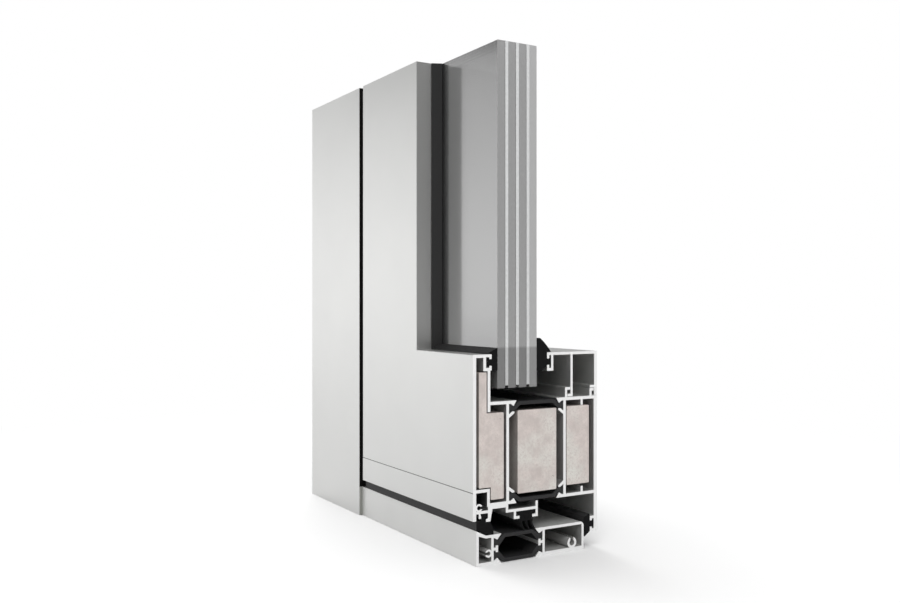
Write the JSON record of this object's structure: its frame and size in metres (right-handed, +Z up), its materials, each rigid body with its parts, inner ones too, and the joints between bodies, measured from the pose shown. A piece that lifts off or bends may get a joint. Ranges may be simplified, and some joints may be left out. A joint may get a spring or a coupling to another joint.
{
  "type": "aluminium door frame section",
  "caption": "Corner sample of a fire rated aluminium door: jamb foot, glazed leaf corner, bottom seals and threshold, cut square to show their sections.",
  "frame": {"origin": "middle of the footprint, on the floor", "axes": "+X along the door from the jamb to the cut end, +Y from the front face to the back, +Z up"},
  "size_m": [0.208, 0.078, 0.262],
  "materials": {
    "profile_aluminium": "fine satin, light silver grey",
    "thermal_strip": "matt glass filled polyamide",
    "fire_board": "matt gypsum based board, faintly mottled",
    "gasket_rubber": "matt black rubber",
    "pane_glass": "clear float glass with cut edges",
    "fire_gel": "milky fire resisting layer"
  },
  "bodies": {
    "root": {"jamb_front_profile": "profile_aluminium", "jamb_back_profile": "profile_aluminium", "jamb_leaf_side_strip": "thermal_strip", "jamb_wall_side_strip": "thermal_strip", "jamb_front_board": "fire_board", "jamb_middle_board": "fire_board", "jamb_back_board": "fire_board", "stile_front_profile": "profile_aluminium", "stile_back_profile": "profile_aluminium", "stile_glazing_bead": "profile_aluminium", "stile_glass_side_strip": "thermal_strip", "stile_outer_strip": "thermal_strip", "stile_front_board": "fire_board", "stile_middle_board": "fire_board", "stile_back_board": "fire_board", "stile_glazing_gasket": "gasket_rubber", "stile_bead_gasket": "gasket_rubber", "stile_stop_gasket": "gasket_rubber", "rail_front_profile": "profile_aluminium", "rail_back_profile": "profile_aluminium", "rail_glazing_bead": "profile_aluminium", "rail_glass_side_strip": "thermal_strip", "rail_outer_strip": "thermal_strip", "rail_front_board": "fire_board", "rail_middle_board": "fire_board", "rail_back_board": "fire_board", "rail_glazing_gasket": "gasket_rubber", "rail_bead_gasket": "gasket_rubber", "rail_stop_gasket": "gasket_rubber", "seal_carrier": "profile_aluminium", "sweep_gasket": "gasket_rubber", "fin_gasket": "gasket_rubber", "threshold_front_profile": "profile_aluminium", "threshold_back_profile": "profile_aluminium", "threshold_upper_strip": "thermal_strip", "threshold_lower_strip": "thermal_strip", "glass_pane_1": "pane_glass", "glass_pane_2": "pane_glass", "glass_pane_3": "pane_glass", "glass_pane_4": "pane_glass", "glass_interlayer_1": "fire_gel", "glass_interlayer_2": "fire_gel", "glass_interlayer_3": "fire_gel"}
  },
  "joints": []
}
